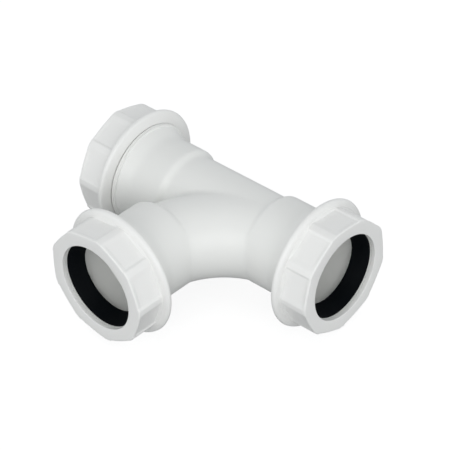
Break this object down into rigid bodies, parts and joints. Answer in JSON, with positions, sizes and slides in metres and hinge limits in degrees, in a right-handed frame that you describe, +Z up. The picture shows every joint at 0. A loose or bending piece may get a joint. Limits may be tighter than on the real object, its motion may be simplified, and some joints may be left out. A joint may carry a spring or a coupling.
{
  "type": "swept compression waste tee",
  "caption": "White plastic swept tee for 40 mm waste pipe, with a screwed compression nut, slip ring and tapered rubber seal on each port.",
  "frame": {"origin": "middle of the footprint, on the surface that the three nut flanges stand on", "axes": "+X along the run towards the outlet port, -Y towards the branch port (which leans back 2.5 degrees towards the inlet), +Z up"},
  "size_m": [0.1422, 0.1124, 0.0646],
  "materials": {
    "body_plastic": "white polypropylene, satin gloss",
    "nut_plastic": "white polypropylene, satin gloss",
    "ring_plastic": "natural white plastic",
    "seal_rubber": "smooth black rubber"
  },
  "bodies": {
    "fitting": {"tee_body": "body_plastic", "inlet_seal": "seal_rubber", "outlet_seal": "seal_rubber", "branch_seal": "seal_rubber"},
    "inlet_ring": {"inlet_slip_ring": "ring_plastic"},
    "inlet_nut": {"inlet_nut": "nut_plastic"},
    "outlet_ring": {"outlet_slip_ring": "ring_plastic"},
    "outlet_nut": {"outlet_nut": "nut_plastic"},
    "branch_ring": {"branch_slip_ring": "ring_plastic"},
    "branch_nut": {"branch_nut": "nut_plastic"}
  },
  "joints": [
    {"name": "inlet_ring_slide", "type": "slide", "parent": "fitting", "child": "inlet_ring", "axis": [-1, 0, 0], "range_m": [0, 0.01201]},
    {"name": "inlet_nut_spin", "type": "hinge", "parent": "inlet_ring", "child": "inlet_nut", "pos_m": [-0.07105, 0.0239, 0.0323], "axis": [-1, 0, 0], "range_deg": [0, 1080]},
    {"name": "outlet_ring_slide", "type": "slide", "parent": "fitting", "child": "outlet_ring", "axis": [1, 0, 0], "range_m": [0, 0.01201]},
    {"name": "outlet_nut_spin", "type": "hinge", "parent": "outlet_ring", "child": "outlet_nut", "pos_m": [0.07105, 0.0239, 0.0323], "axis": [1, 0, 0], "range_deg": [0, 1080]},
    {"name": "branch_ring_slide", "type": "slide", "parent": "fitting", "child": "branch_ring", "axis": [-0.0436, -0.999, 0], "range_m": [0, 0.01201]},
    {"name": "branch_nut_spin", "type": "hinge", "parent": "branch_ring", "child": "branch_nut", "pos_m": [-0.01229, -0.05493, 0.0323], "axis": [-0.0436, -0.999, 0], "range_deg": [0, 1080]}
  ],
  "couplings": [
    {"joint": "inlet_ring_slide", "follows": "inlet_nut_spin", "m_per_rad": 0.00063662},
    {"joint": "outlet_ring_slide", "follows": "outlet_nut_spin", "m_per_rad": 0.00063662},
    {"joint": "branch_ring_slide", "follows": "branch_nut_spin", "m_per_rad": 0.00063662}
  ]
}
